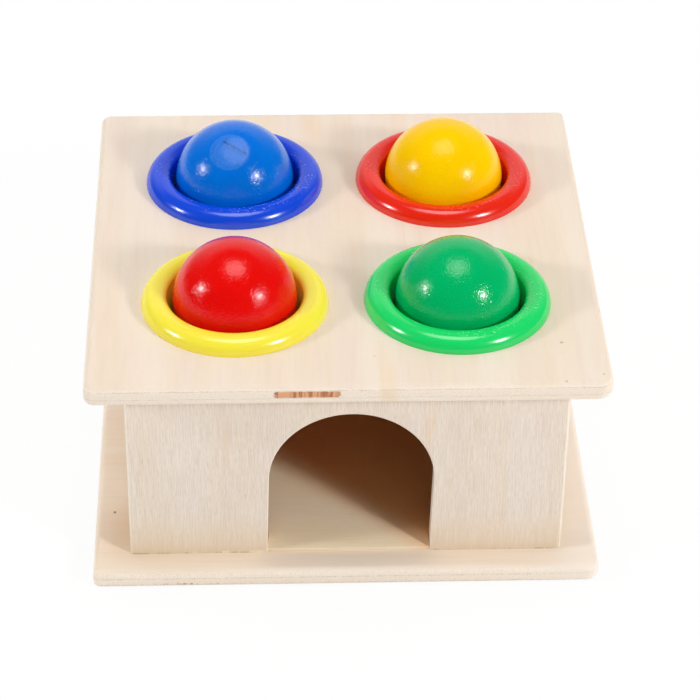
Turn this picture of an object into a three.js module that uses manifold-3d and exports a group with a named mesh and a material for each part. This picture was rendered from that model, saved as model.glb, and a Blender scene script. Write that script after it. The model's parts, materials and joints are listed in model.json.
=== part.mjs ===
// Ball pounding toy: a plywood box whose top plate carries four soft plastic rings.
// A painted wooden ball sits in each ring. Pounded through its ring, it drops on a
// sloped board and rolls out of the arch in the front wall.
// Millimetres, +Z up, the toy stands on z = 0 and its arch faces -Y.

import * as THREE from 'three';
import { mergeVertices } from 'three/addons/utils/BufferGeometryUtils.js';
import Module from 'manifold-3d';

const wasm = await Module();
wasm.setup();

// Driving dimensions

// Clearance between a piece and the hole or recess that it fits.
const FIT_GAP = 0.3;

// Balls: turned hardwood. The ball's centre rests a little above the top plate's face.
const BALL_DIAMETER = 30;
const BALL_REST_HEIGHT = 1.25;
const BALL_FLAT_DIAMETER = 10;
const BALL_FLAT_TILT = 30;

// Rings: a bead lies on the plate, well rounded outside, with a nearly flat crown and a
// small round rim inside. A sleeve with a barb holds the ring in its hole, and a throat
// narrower than the ball holds the ball up.
const RING_LIP_GAP = 1.3;
const RING_BEAD_WIDTH = 6.2;
const RING_BEAD_HEIGHT = 3.65;
const RING_SHOULDER_WIDTH = 3.2;
const RING_CROWN_FALL = 0.2;
const RING_RIM_WIDTH = 1.2;
const RING_RIM_HEIGHT = 1.25;
const RING_GRIP = 0.5;
const RING_THROAT_HEIGHT = 1;
const RING_FOOT_GAP = 0.6;
const RING_SLEEVE_WALL = 2.2;
const RING_BARB_CATCH = 0.6;
const RING_BARB_TAPER = 1.2;
const RING_BARB_HEIGHT = 1;
const RING_SPACING = 8.5;
const GRID_RIGHT = 0.4;
const BACK_ROW_BACK = 0.7;

// Plates and walls: plywood. The rooms are left between the rings and the walls.
const PLATE_THICKNESS = 5;
const PLATE_CORNER_RADIUS = 2.4;
const PLATE_EDGE_RADIUS = 1.6;
const OVERHANG_SIDE = 9;
const OVERHANG_FRONT = 7;
const WALL_THICKNESS = 5;
const WALL_HEIGHT = 50;
const ROOM_SIDE = 1.35;
const ROOM_FRONT = 3.35;
const ARCH_WIDTH = 39.6;
const ARCH_HEADER = 8.2;
const ARCH_OFFSET = 0.6;

// Ramp board, planed down to a thin nose at the arch, and the batten under its high end.
const RAMP_THICKNESS = 3;
const RAMP_NOSE = 0.8;
const RAMP_RISE = 16;
const BATTEN_WIDTH = 8;

// Brads, driven through the plates into the walls' edges.
const BRAD_DIAMETER = 1.2;
const BRAD_LENGTH = 18;
const BRAD_POINT = 1.5;
const BRAD_HEAD_DIAMETER = 1.9;
const BRAD_HEAD_HEIGHT = 0.8;
const BRAD_SET_TOP = 1;
const BRAD_SET_BASE = 0.3;
const BRAD_END_MARGIN = 5.5;

// Facets
const BALL_FACETS = 24;
const RING_FACETS = 32;
const BRAD_FACETS = 8;
const SHOULDER_STEPS = 5;
const RIM_STEPS = 3;
const ARCH_STEPS = 16;
const CORNER_STEPS = 5;
const EDGE_STEPS = 3;

// Sizes worked out from the driving dimensions

const ballRadius = BALL_DIAMETER / 2;

const lipRadius = ballRadius + RING_LIP_GAP;
const beadRadius = lipRadius + RING_BEAD_WIDTH;
const sleeveRadius = lipRadius + RING_SLEEVE_WALL;
const holeRadius = sleeveRadius + FIT_GAP;
const barbRadius = holeRadius + RING_BARB_CATCH;
const gridHalf = beadRadius + RING_SPACING / 2;

const innerHalfX = gridHalf + barbRadius + ROOM_SIDE;
const innerHalfY = gridHalf + barbRadius + ROOM_FRONT;
const wallHalfX = innerHalfX + WALL_THICKNESS;
const wallHalfY = innerHalfY + WALL_THICKNESS;
const plateHalfX = wallHalfX + OVERHANG_SIDE;
const plateHalfY = wallHalfY + OVERHANG_FRONT;

const floorZ = PLATE_THICKNESS;
const ceilingZ = floorZ + WALL_HEIGHT;
const topZ = ceilingZ + PLATE_THICKNESS;

const archRadius = ARCH_WIDTH / 2;
const archSpring = WALL_HEIGHT - ARCH_HEADER - archRadius;

const WOOD = 0xe8d9c6;
const RAMP_WOOD = 0xdcc7ab;
const STEEL = 0xa8a8a6;

// Each ball was pressed into its ring by hand: lift is how much higher than usual it sits.
const PLACES = [
  { ring: 'blue', ringColor: 0x2f55d0, ball: 'blue', ballColor: 0x0a5cc0, x: -1, y: 1, lift: -0.2, flat: true },
  { ring: 'red', ringColor: 0xe3321f, ball: 'yellow', ballColor: 0xf7c208, x: 1, y: 1, lift: 0 },
  { ring: 'yellow', ringColor: 0xf8e63e, ball: 'red', ballColor: 0xe0201c, x: -1, y: -1, lift: 0 },
  { ring: 'green', ringColor: 0x2fd070, ball: 'green', ballColor: 0x08a058, x: 1, y: -1, lift: -0.4 },
];

// Solids

function toSolid(geometry) {
  const bare = geometry.clone();
  bare.deleteAttribute('normal');
  bare.deleteAttribute('uv');
  const merged = mergeVertices(bare);
  const corners = merged.index.array;
  const triangles = [];
  for (let i = 0; i < corners.length; i += 3) {
    const [a, b, c] = corners.slice(i, i + 3);
    if (a !== b && b !== c && c !== a) triangles.push(a, b, c);
  }
  const mesh = new wasm.Mesh({
    numProp: 3,
    vertProperties: Float32Array.from(merged.attributes.position.array),
    triVerts: Uint32Array.from(triangles),
  });
  return new wasm.Manifold(mesh);
}

function toGeometry(solid) {
  const { vertProperties, triVerts } = solid.getMesh();
  const geometry = new THREE.BufferGeometry();
  geometry.setAttribute('position', new THREE.BufferAttribute(vertProperties, 3));
  geometry.setIndex(new THREE.BufferAttribute(triVerts, 1));
  geometry.computeVertexNormals();
  return geometry;
}

function cut(geometry, cutters) {
  const rest = cutters.reduce((solid, cutter) => solid.subtract(toSolid(cutter)), toSolid(geometry));
  return toGeometry(rest);
}

// A turned shape: the profile's [radius, height] points go round the Z axis.
function turned(profile, facets) {
  const points = profile.map(([radius, height]) => new THREE.Vector2(radius, height));
  return new THREE.LatheGeometry(points, facets).rotateX(Math.PI / 2);
}

// A shape drawn in the YZ plane and extruded along X, centred on x = 0.
function extrudedAlongX(outline, width) {
  const shape = new THREE.Shape(outline.map(([y, z]) => new THREE.Vector2(y, z)));
  const geometry = new THREE.ExtrudeGeometry(shape, { depth: width, bevelEnabled: false });
  geometry.translate(0, 0, -width / 2);
  const alongY = new THREE.Vector3(0, 1, 0);
  const alongZ = new THREE.Vector3(0, 0, 1);
  const alongX = new THREE.Vector3(1, 0, 0);
  return geometry.applyMatrix4(new THREE.Matrix4().makeBasis(alongY, alongZ, alongX));
}

function boxBetween(low, high) {
  const size = high.map((value, axis) => value - low[axis]);
  const centre = high.map((value, axis) => (value + low[axis]) / 2);
  return new THREE.BoxGeometry(...size).translate(...centre);
}

const toy = new THREE.Group();

function addPiece(name, geometry, color, roughness, metalness = 0) {
  const material = new THREE.MeshStandardMaterial({ color, roughness, metalness });
  const piece = new THREE.Mesh(geometry, material);
  piece.name = name;
  toy.add(piece);
  return piece;
}

// Brads: a small head, a straight shank and a point. The head's face is at z = 0.
// The same profile, swollen by the fit gap, cuts the brad's hole.

function bradProfile(gap, headRoom) {
  const shank = BRAD_DIAMETER / 2 + gap;
  const head = BRAD_HEAD_DIAMETER / 2 + gap;
  const neck = -BRAD_HEAD_HEIGHT - gap;
  return [
    [0, -BRAD_LENGTH - gap],
    [shank, BRAD_POINT - BRAD_LENGTH],
    [shank, neck],
    [head, neck],
    [head, headRoom],
    [0, headRoom],
  ];
}

const wallMiddleX = wallHalfX - WALL_THICKNESS / 2;
const wallMiddleY = wallHalfY - WALL_THICKNESS / 2;
const pierMiddleX = (wallHalfX + archRadius) / 2;
const bradEndY = innerHalfY - BRAD_END_MARGIN;

const BRAD_SPOTS = [
  { wall: 'front', end: 'left', x: -pierMiddleX, y: -wallMiddleY },
  { wall: 'front', end: 'right', x: pierMiddleX, y: -wallMiddleY },
  { wall: 'back', end: 'left', x: -pierMiddleX, y: wallMiddleY },
  { wall: 'back', end: 'right', x: pierMiddleX, y: wallMiddleY },
  { wall: 'left', end: 'front', x: -wallMiddleX, y: -bradEndY },
  { wall: 'left', end: 'back', x: -wallMiddleX, y: bradEndY },
  { wall: 'right', end: 'front', x: wallMiddleX, y: -bradEndY },
  { wall: 'right', end: 'back', x: wallMiddleX, y: bradEndY },
];

// Top brads are set deep and filled over, so their holes stay blind. Base brads' holes are open below.
function topBrad({ x, y }, gap) {
  return turned(bradProfile(gap, gap), BRAD_FACETS).translate(x, y, topZ - BRAD_SET_TOP);
}

function baseBrad({ x, y }, gap, headRoom) {
  return turned(bradProfile(gap, headRoom), BRAD_FACETS).rotateX(Math.PI).translate(x, y, BRAD_SET_BASE);
}

const topBradHole = (spot) => topBrad(spot, FIT_GAP);
const baseBradHole = (spot) => baseBrad(spot, FIT_GAP, BRAD_SET_BASE + FIT_GAP);

function bradHolesIn(wall) {
  const spots = BRAD_SPOTS.filter((spot) => spot.wall === wall);
  return spots.flatMap((spot) => [topBradHole(spot), baseBradHole(spot)]);
}

// Plates: one rounded blank, used whole as the base and with holes as the top.

function plateBlank() {
  const x = plateHalfX;
  const y = plateHalfY;
  const r = PLATE_CORNER_RADIUS;
  const outline = new THREE.Shape();
  outline.moveTo(r - x, -y);
  outline.lineTo(x - r, -y);
  outline.absarc(x - r, r - y, r, -Math.PI / 2, 0);
  outline.lineTo(x, y - r);
  outline.absarc(x - r, y - r, r, 0, Math.PI / 2);
  outline.lineTo(r - x, y);
  outline.absarc(r - x, y - r, r, Math.PI / 2, Math.PI);
  outline.lineTo(-x, r - y);
  outline.absarc(r - x, r - y, r, Math.PI, 1.5 * Math.PI);
  const blank = new THREE.ExtrudeGeometry(outline, {
    depth: PLATE_THICKNESS - 2 * PLATE_EDGE_RADIUS,
    curveSegments: CORNER_STEPS,
    bevelSegments: EDGE_STEPS,
    bevelSize: PLATE_EDGE_RADIUS,
    bevelThickness: PLATE_EDGE_RADIUS,
    bevelOffset: -PLATE_EDGE_RADIUS,
  });
  return blank.translate(0, 0, PLATE_EDGE_RADIUS);
}

const placeX = (place) => place.x * gridHalf + GRID_RIGHT;
const placeY = (place) => place.y * gridHalf + (place.y > 0 ? BACK_ROW_BACK : 0);
const restHeight = (place) => BALL_REST_HEIGHT + place.lift;

function ringHole(place) {
  const drill = new THREE.CylinderGeometry(holeRadius, holeRadius, 3 * PLATE_THICKNESS, RING_FACETS);
  return drill.rotateX(Math.PI / 2).translate(placeX(place), placeY(place), topZ);
}

addPiece('base_plate', cut(plateBlank(), BRAD_SPOTS.map(baseBradHole)), WOOD, 0.6);

const topHoles = [...PLACES.map(ringHole), ...BRAD_SPOTS.map(topBradHole)];
addPiece('top_plate', cut(plateBlank().translate(0, 0, ceilingZ), topHoles), WOOD, 0.6);

// Walls: front and back run the whole width, and the side walls stand between them.

function frontWall() {
  const outline = new THREE.Shape();
  outline.moveTo(-wallHalfX, 0);
  outline.lineTo(ARCH_OFFSET - archRadius, 0);
  outline.absarc(ARCH_OFFSET, archSpring, archRadius, Math.PI, 0, true);
  outline.lineTo(ARCH_OFFSET + archRadius, 0);
  outline.lineTo(wallHalfX, 0);
  outline.lineTo(wallHalfX, WALL_HEIGHT);
  outline.lineTo(-wallHalfX, WALL_HEIGHT);
  const wall = new THREE.ExtrudeGeometry(outline, {
    depth: WALL_THICKNESS,
    curveSegments: ARCH_STEPS,
    bevelEnabled: false,
  });
  return wall.rotateX(Math.PI / 2).translate(0, -innerHalfY, floorZ);
}

const backWall = boxBetween([-wallHalfX, innerHalfY, floorZ], [wallHalfX, wallHalfY, ceilingZ]);
const leftWall = boxBetween([-wallHalfX, -innerHalfY, floorZ], [-innerHalfX, innerHalfY, ceilingZ]);
const rightWall = boxBetween([innerHalfX, -innerHalfY, floorZ], [wallHalfX, innerHalfY, ceilingZ]);

addPiece('front_wall', cut(frontWall(), bradHolesIn('front')), WOOD, 0.65);
addPiece('back_wall', cut(backWall, bradHolesIn('back')), WOOD, 0.65);
addPiece('left_wall', cut(leftWall, bradHolesIn('left')), WOOD, 0.65);
addPiece('right_wall', cut(rightWall, bradHolesIn('right')), WOOD, 0.65);

// Ramp board: wide behind the front wall, with a tongue that runs out through the arch.
// Its underside is planed flat where it lies on the base plate.

const noseY = FIT_GAP - wallHalfY;
const rampBackY = innerHalfY - FIT_GAP;
const rampSlope = RAMP_RISE / (rampBackY - noseY);
const rampDepth = RAMP_THICKNESS * Math.hypot(1, rampSlope);
const rampBackZ = floorZ + RAMP_NOSE + RAMP_RISE;
const rampLiftY = noseY + (rampDepth - RAMP_NOSE) / rampSlope;

function rampBoard() {
  const outline = [
    [noseY, floorZ],
    [rampLiftY, floorZ],
    [rampBackY, rampBackZ - rampDepth],
    [rampBackY, rampBackZ],
    [noseY, floorZ + RAMP_NOSE],
  ];
  const width = 2 * (innerHalfX - FIT_GAP);
  const shoulderY = FIT_GAP - innerHalfY;
  const leftNotch = boxBetween(
    [-wallHalfX, -plateHalfY, 0],
    [ARCH_OFFSET - archRadius + FIT_GAP, shoulderY, ceilingZ],
  );
  const rightNotch = boxBetween(
    [ARCH_OFFSET + archRadius - FIT_GAP, -plateHalfY, 0],
    [wallHalfX, shoulderY, ceilingZ],
  );
  return cut(extrudedAlongX(outline, width), [leftNotch, rightNotch]);
}

function rampBatten() {
  const frontY = innerHalfY - BATTEN_WIDTH;
  const undersideZ = (y) => rampBackZ - rampDepth - FIT_GAP - rampSlope * (rampBackY - y);
  const outline = [
    [frontY, floorZ],
    [innerHalfY, floorZ],
    [innerHalfY, undersideZ(innerHalfY)],
    [frontY, undersideZ(frontY)],
  ];
  return extrudedAlongX(outline, 2 * (innerHalfX - FIT_GAP));
}

addPiece('ramp_board', rampBoard(), RAMP_WOOD, 0.7);
addPiece('ramp_batten', rampBatten(), RAMP_WOOD, 0.7);

// Rings: heights are from the top plate's face. The seat lies a fit gap from the ball.

function ringProfile(place) {
  const throatRadius = ballRadius - RING_GRIP;
  const seatDepth = Math.sqrt((ballRadius + FIT_GAP) ** 2 - throatRadius ** 2) - restHeight(place);
  const barbTop = -PLATE_THICKNESS - FIT_GAP;
  const foot = barbTop - RING_BARB_HEIGHT;
  const crest = beadRadius - RING_SHOULDER_WIDTH;
  const rimFoot = RING_BEAD_HEIGHT - RING_CROWN_FALL - RING_RIM_HEIGHT;
  const rimMiddle = lipRadius + RING_RIM_WIDTH;
  const quarter = Math.PI / 2;
  const shoulder = new THREE.EllipseCurve(crest, 0, RING_SHOULDER_WIDTH, RING_BEAD_HEIGHT, 0, quarter);
  const rim = new THREE.EllipseCurve(rimMiddle, rimFoot, RING_RIM_WIDTH, RING_RIM_HEIGHT, quarter, Math.PI);
  return [
    [ballRadius + RING_FOOT_GAP, foot],
    [barbRadius - RING_BARB_TAPER, foot],
    [barbRadius, barbTop],
    [sleeveRadius, barbTop],
    [sleeveRadius, 0],
    ...shoulder.getPoints(SHOULDER_STEPS).map(({ x, y }) => [x, y]),
    ...rim.getPoints(RIM_STEPS).map(({ x, y }) => [x, y]),
    [throatRadius, -seatDepth],
    [throatRadius, -seatDepth - RING_THROAT_HEIGHT],
    [ballRadius + RING_FOOT_GAP, foot],
  ];
}

// Balls: a turned ball may keep the flat that its lathe centre left on it.

function ball(hasFlat) {
  const sphere = new THREE.SphereGeometry(ballRadius, BALL_FACETS, BALL_FACETS / 2 + 2).rotateX(Math.PI / 2);
  if (!hasFlat) return sphere;
  const flatRadius = BALL_FLAT_DIAMETER / 2;
  const flatHeight = Math.sqrt(ballRadius ** 2 - flatRadius ** 2);
  const knife = boxBetween([-ballRadius, -ballRadius, flatHeight], [ballRadius, ballRadius, BALL_DIAMETER]);
  return cut(sphere, [knife.rotateX(THREE.MathUtils.degToRad(BALL_FLAT_TILT))]);
}

for (const place of PLACES) {
  const ring = addPiece(`${place.ring}_ring`, turned(ringProfile(place), RING_FACETS), place.ringColor, 0.3);
  ring.position.set(placeX(place), placeY(place), topZ);
  const painted = addPiece(`${place.ball}_ball`, ball(place.flat), place.ballColor, 0.25);
  painted.position.set(placeX(place), placeY(place), topZ + restHeight(place));
}

for (const spot of BRAD_SPOTS) {
  const place = `${spot.wall}_${spot.end}`;
  addPiece(`top_brad_${place}`, topBrad(spot, 0), STEEL, 0.35, 1);
  addPiece(`base_brad_${place}`, baseBrad(spot, 0, 0), STEEL, 0.35, 1);
}

export default toy;
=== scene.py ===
import json
import math

import bmesh
import bpy
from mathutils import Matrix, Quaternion, Vector

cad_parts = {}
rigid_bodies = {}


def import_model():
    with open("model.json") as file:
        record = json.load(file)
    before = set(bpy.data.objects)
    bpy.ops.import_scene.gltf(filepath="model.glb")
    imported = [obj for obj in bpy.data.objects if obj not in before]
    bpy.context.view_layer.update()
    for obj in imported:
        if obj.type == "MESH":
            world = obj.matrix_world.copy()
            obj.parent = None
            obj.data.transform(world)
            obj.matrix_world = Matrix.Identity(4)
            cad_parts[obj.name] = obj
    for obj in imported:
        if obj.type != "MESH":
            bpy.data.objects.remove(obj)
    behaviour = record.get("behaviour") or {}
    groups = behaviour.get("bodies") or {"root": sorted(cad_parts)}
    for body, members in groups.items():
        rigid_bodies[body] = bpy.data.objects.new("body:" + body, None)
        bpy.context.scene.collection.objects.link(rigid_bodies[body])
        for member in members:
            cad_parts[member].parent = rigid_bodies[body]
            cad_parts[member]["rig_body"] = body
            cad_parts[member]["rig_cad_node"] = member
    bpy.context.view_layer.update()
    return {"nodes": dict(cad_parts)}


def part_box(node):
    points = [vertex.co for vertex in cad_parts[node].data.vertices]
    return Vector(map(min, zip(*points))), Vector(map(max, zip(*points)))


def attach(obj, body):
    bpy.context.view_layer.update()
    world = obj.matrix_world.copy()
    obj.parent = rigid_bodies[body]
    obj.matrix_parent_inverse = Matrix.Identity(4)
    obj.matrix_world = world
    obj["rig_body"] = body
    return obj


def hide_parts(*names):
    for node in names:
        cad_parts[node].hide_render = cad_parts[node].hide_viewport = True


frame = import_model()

# Base plate: a square of three-ply basswood that the box stands on.
# It is sawn, its corners and edges are rounded on a router and it is sanded pale.
# Eight brads come up through it into the walls, with their heads sunk in its underside.

MM = 0.001
PLATE_EDGE_RADIUS = 1.6 * MM
BASE_CORNER_RADII = {(-1, -1): 1.8 * MM, (1, -1): 3.4 * MM, (-1, 1): 2.4 * MM, (1, 1): 2.4 * MM}
PLATE_FLAT_BORDER = 0.06 * MM
SMOOTH_ANGLE = math.radians(40)
SAME_PLACE = 0.01 * MM
BRAD_HEAD_CLEARANCE = 0.05 * MM
BRAD_HOLE_TOP = 0.9 * MM
WALL_NAMES = {
    "front": ("left", "right"),
    "back": ("left", "right"),
    "left": ("front", "back"),
    "right": ("front", "back"),
}
BRAD_SPOTS = [f"{wall}_{end}" for wall, ends in WALL_NAMES.items() for end in ends]


def tell_name(piece, name):
    """Names a piece and its mesh alike."""
    piece.name = name
    piece.data.name = name
    return piece


def lay_down():
    """Leaves edit mode with nothing selected."""
    if bpy.context.mode != "OBJECT":
        bpy.ops.object.mode_set(mode="OBJECT")
    bpy.ops.object.select_all(action="DESELECT")


def pick_up(piece):
    """Selects one piece alone."""
    lay_down()
    piece.select_set(True)
    bpy.context.view_layer.objects.active = piece


def block(name, low, high):
    """A plain block between two corners, to be shaped into a board."""
    lay_down()
    low = Vector(low)
    high = Vector(high)
    bpy.ops.mesh.primitive_cube_add(size=1, location=(low + high) / 2, scale=high - low)
    bpy.ops.object.transform_apply(location=True, rotation=True, scale=True)
    return tell_name(bpy.context.object, name)


def edit(piece, kind):
    """Opens one piece in edit mode with nothing selected."""
    pick_up(piece)
    bpy.ops.object.mode_set(mode="EDIT")
    bpy.ops.mesh.select_mode(type=kind)
    bpy.ops.mesh.select_all(action="DESELECT")
    return bmesh.from_edit_mesh(piece.data)


def choose_edges(piece, wanted):
    """Opens a piece in edit mode with the edges selected whose two ends are wanted."""
    mesh = edit(piece, "EDGE")
    for edge in mesh.edges:
        edge.select_set(wanted(edge.verts[0].co, edge.verts[1].co))
    mesh.select_flush_mode()
    bmesh.update_edit_mesh(piece.data)


def choose_faces(piece, wanted):
    """Opens a piece in edit mode with the faces selected whose middle and normal are wanted."""
    mesh = edit(piece, "FACE")
    for face in mesh.faces:
        face.select_set(wanted(face.calc_center_median(), face.normal))
    mesh.select_flush_mode()
    bmesh.update_edit_mesh(piece.data)


def close(piece):
    """Leaves edit mode and smooths the piece up to its sharp edges."""
    pick_up(piece)
    bpy.ops.object.shade_smooth_by_angle(angle=SMOOTH_ANGLE)


def cut_away(piece, cutter):
    """Cuts one piece with another, which is then thrown away."""
    pick_up(piece)
    saw = piece.modifiers.new("saw", "BOOLEAN")
    saw.operation = "DIFFERENCE"
    saw.solver = "EXACT"
    saw.object = cutter
    bpy.ops.object.modifier_apply(modifier=saw.name)
    bpy.data.objects.remove(cutter)


def rounded_plate(name, node, corner_radii):
    """A square plate with round edges all the way along. Each corner was sanded round by
    hand, so it has its own radius, listed by the signs of its x and y."""
    plate = block(name, *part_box(node))
    for (right, back), radius in corner_radii.items():
        choose_edges(
            plate,
            lambda a, b: abs(a.z - b.z) > SAME_PLACE and a.x * right > 0 and a.y * back > 0,
        )
        bpy.ops.mesh.bevel(offset=radius, segments=10, affect="EDGES")
    choose_edges(plate, lambda a, b: abs(a.z - b.z) < SAME_PLACE)
    bpy.ops.mesh.bevel(offset=PLATE_EDGE_RADIUS, segments=8, affect="EDGES")
    choose_faces(plate, lambda middle, normal: abs(normal.z) > 1 - SAME_PLACE)
    bpy.ops.mesh.inset(thickness=PLATE_FLAT_BORDER)
    close(plate)
    return plate


def drill(piece, low, high, clearance, facets=24):
    """Drills an upright hole that clears the box between two corners."""
    radius = (high.x - low.x) / 2 + clearance
    lay_down()
    bpy.ops.mesh.primitive_cylinder_add(
        vertices=facets, radius=radius, depth=high.z - low.z, location=(low + high) / 2
    )
    cut_away(piece, bpy.context.object)


base_plate = rounded_plate("base_plate_board", "base_plate", BASE_CORNER_RADII)
for spot in BRAD_SPOTS:
    head_low, head_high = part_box(f"base_brad_{spot}")
    head_low.z = -PLATE_EDGE_RADIUS
    head_high.z = BRAD_HOLE_TOP
    drill(base_plate, head_low, head_high, BRAD_HEAD_CLEARANCE)
close(base_plate)


def colour(red, green, blue):
    """A colour as it is seen on a screen, from 0 to 255, as the shader needs it."""
    parts = [value / 255 for value in (red, green, blue)]
    return tuple(
        part / 12.92 if part <= 0.04045 else ((part + 0.055) / 1.055) ** 2.4 for part in parts
    ) + (1,)


class Shade:
    """One socket of a material. Arithmetic on shades adds the Math nodes that work it out."""

    def __init__(self, tree, socket):
        self.tree = tree
        self.socket = socket

    def node(self, kind, settings, sockets, output=0):
        """Adds a node: its settings first, then the values or links of its sockets."""
        added = self.tree.nodes.new("ShaderNode" + kind)
        for name, value in settings.items():
            setattr(added, name, value)
        for name, value in sockets.items():
            if isinstance(value, Shade):
                self.tree.links.new(value.socket, added.inputs[name])
            else:
                added.inputs[name].default_value = value
        return Shade(self.tree, added.outputs[output] if added.outputs else None)

    def beside(self, output):
        """Another output of the node that this shade comes from."""
        return Shade(self.tree, self.socket.node.outputs[output])

    def maths(self, operation, first, second=0.0):
        """A Math node that works on two shades or numbers."""
        return self.node("Math", {"operation": operation}, {0: first, 1: second})

    def __add__(self, other):
        return self.maths("ADD", self, other)

    def __radd__(self, other):
        return self.maths("ADD", other, self)

    def __sub__(self, other):
        return self.maths("SUBTRACT", self, other)

    def __rsub__(self, other):
        return self.maths("SUBTRACT", other, self)

    def __mul__(self, other):
        return self.maths("MULTIPLY", self, other)

    def __rmul__(self, other):
        return self.maths("MULTIPLY", other, self)

    def __abs__(self):
        return self.maths("ABSOLUTE", self)

    def rise(self, start, end):
        """0 before start, 1 after end, and a smooth climb between them."""
        return self.node(
            "MapRange",
            {"interpolation_type": "SMOOTHSTEP"},
            {"Value": self, "From Min": start, "From Max": end},
        )

    def band(self, middle, width, blur):
        """1 within half a width of the middle, fading to 0 over the blur."""
        return 1 - abs(self - middle).rise(width / 2, width / 2 + blur)

    def stretched(self, scale):
        """This place with each axis multiplied, to stretch a pattern."""
        return self.node("VectorMath", {"operation": "MULTIPLY"}, {0: self, 1: scale})

    def noise(self, scale, detail=2.0, roughness=0.5):
        """Soft noise of about 0 to 1 at this place, with its own scale along each axis."""
        placed = self.stretched(scale)
        sockets = {"Vector": placed, "Scale": 1.0, "Detail": detail, "Roughness": roughness}
        return self.node("TexNoise", {}, sockets)

    def tinted(self, first, second):
        """The first colour where this shade is 0 and the second where it is 1."""
        return self.node("Mix", {"data_type": "RGBA"}, {0: self, 6: first, 7: second}, output=2)

    def blot(self, middle, reach, softness=0.6):
        """1 round this middle, fading to 0 at this reach along each axis."""
        away = self.node("VectorMath", {"operation": "SUBTRACT"}, {0: self, 1: middle})
        away = away.stretched([1 / length for length in reach])
        far = away.node("VectorMath", {"operation": "LENGTH"}, {0: away}, output=1)
        return 1 - far.rise(1 - softness, 1)

    def bump(self, depth):
        """A normal for this height, with 1 standing this many metres above 0."""
        return self.node("Bump", {}, {"Strength": 1.0, "Distance": depth, "Height": self})

    def surface(self, sockets):
        """Ends the material in one shader with these sockets."""
        shader = self.node("BsdfPrincipled", {}, sockets)
        self.node("OutputMaterial", {}, {"Surface": shader})


def new_material(name):
    """An empty material, and the shade that holds a point's place on the piece."""
    material = bpy.data.materials.new(name)
    material.use_nodes = True
    material.node_tree.nodes.clear()
    return material, Shade(material.node_tree, None).node("TexCoord", {}, {}, output=3)


def clothe(piece, material):
    """Gives a piece one material all over."""
    piece.data.materials.clear()
    piece.data.materials.append(material)


FIBRE_WOOD = colour(196, 170, 140)
SAWN_WOOD_AND_LIGHT = colour(255, 244, 229)
STREAK_WOOD = colour(234, 202, 164)
PORE_WOOD = colour(150, 120, 92)
GLUE_LINE = colour(186, 160, 132)
PLATE_GRAIN = {"fine": 0.045, "lines": 0.07, "streaks": 0.2}
PLY_BLEND = 0.03
GRAIN_SWAY = 3.0
GLUE_WIDTH = 0.1
GLUE_SHARE = 0.4
GLUE_RELIEF = 0.5
ROSY_SHARE = 0.8
SAWN_MIDDLE = 2.5
SAWN_WIDTH = 3.6
SAWN_BLUR = 0.5
SAWN_LIGHT_SHARE = 0.45
CUT_END_SHARE = 0.28
WOOD_ROUGHNESS = 0.5
WOOD_UNEVENNESS = 0.1
WOOD_SHINE = 0.3


def plywood(name, corner, turn, plies, tones, grain):
    """Three-ply basswood. The pattern is solid: its fibres run along the board in the
    outer plies and across it in the core, so sawn edges show their ends. The corner is
    where the pattern starts, plies are the two glue lines' heights in millimetres."""
    material, place = new_material(name)
    lined = place.node(
        "Mapping",
        {"vector_type": "TEXTURE"},
        {"Vector": place, "Location": corner, "Rotation": turn, "Scale": (MM, MM, MM)},
    )
    across = lined.node("SeparateXYZ", {}, {0: lined})
    along = across.beside(1)
    depth = across.beside(2)
    under_core, over_core = plies
    core = depth.rise(under_core - PLY_BLEND, under_core + PLY_BLEND)
    core = core - depth.rise(over_core - PLY_BLEND, over_core + PLY_BLEND)
    crossed = lined.node("CombineXYZ", {}, {0: along, 1: across, 2: depth})
    fibres = lined.node("Mix", {"data_type": "VECTOR"}, {0: core, 4: lined, 5: crossed}, output=1)
    sway = fibres.noise((0.035, 0.012, 0.035))
    swayed = sway.node("CombineXYZ", {}, {0: (sway - 0.5) * GRAIN_SWAY})
    wavy = fibres.node("VectorMath", {"operation": "ADD"}, {0: fibres, 1: swayed})
    broad = wavy.noise((0.08, 0.007, 0.2), 3.0)
    rosy = wavy.noise((0.14, 0.01, 0.3), 2.0)
    streak = wavy.noise((0.3, 0.008, 0.5), 3.0).rise(0.58, 0.76)
    line = wavy.noise((0.75, 0.045, 0.75), 2.0)
    tick = wavy.noise((4.6, 0.12, 4.6), 0.0) * 0.6 + wavy.noise((4.2, 0.5, 4.2), 0.0) * 0.4
    pore = wavy.noise((3.4, 0.3, 3.4), 1.0).rise(0.7, 0.78)
    glue = depth.band(under_core, GLUE_WIDTH, GLUE_WIDTH)
    glue = glue + depth.band(over_core, GLUE_WIDTH, GLUE_WIDTH)
    glue = glue * fibres.noise((0.4, 0.4, 0.4), 3.0).rise(0.35, 0.6)
    pale, warm, pink = tones
    tint = broad.rise(0.35, 0.65).tinted(pale, warm)
    tint = (rosy.rise(0.45, 0.7) * ROSY_SHARE).tinted(tint, pink)
    tint = (streak * grain["streaks"]).tinted(tint, STREAK_WOOD)
    tint = (line.rise(0.45, 0.75) * grain["lines"]).tinted(tint, FIBRE_WOOD)
    tint = (tick.rise(0.34, 0.66) * grain["fine"]).tinted(tint, FIBRE_WOOD)
    tint = (pore * grain["fine"]).tinted(tint, PORE_WOOD)
    # Partly the cut wood's own paler tone and partly painted light: the sawn edges are painted paler,
    # lifting the upright edges towards the brightness of the lit top.
    sawn_edge = depth.band(SAWN_MIDDLE, SAWN_WIDTH, SAWN_BLUR)
    tint = (sawn_edge * SAWN_LIGHT_SHARE).tinted(tint, SAWN_WOOD_AND_LIGHT)
    cut_ends = lined.noise((3.2, 3.2, 3.2), 1.0).rise(0.5, 0.68) * sawn_edge
    tint = (cut_ends * CUT_END_SHARE).tinted(tint, FIBRE_WOOD)
    tint = (glue * GLUE_SHARE).tinted(tint, GLUE_LINE)
    height = tick - pore - glue * GLUE_RELIEF
    return material, lined, tint, height


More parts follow.
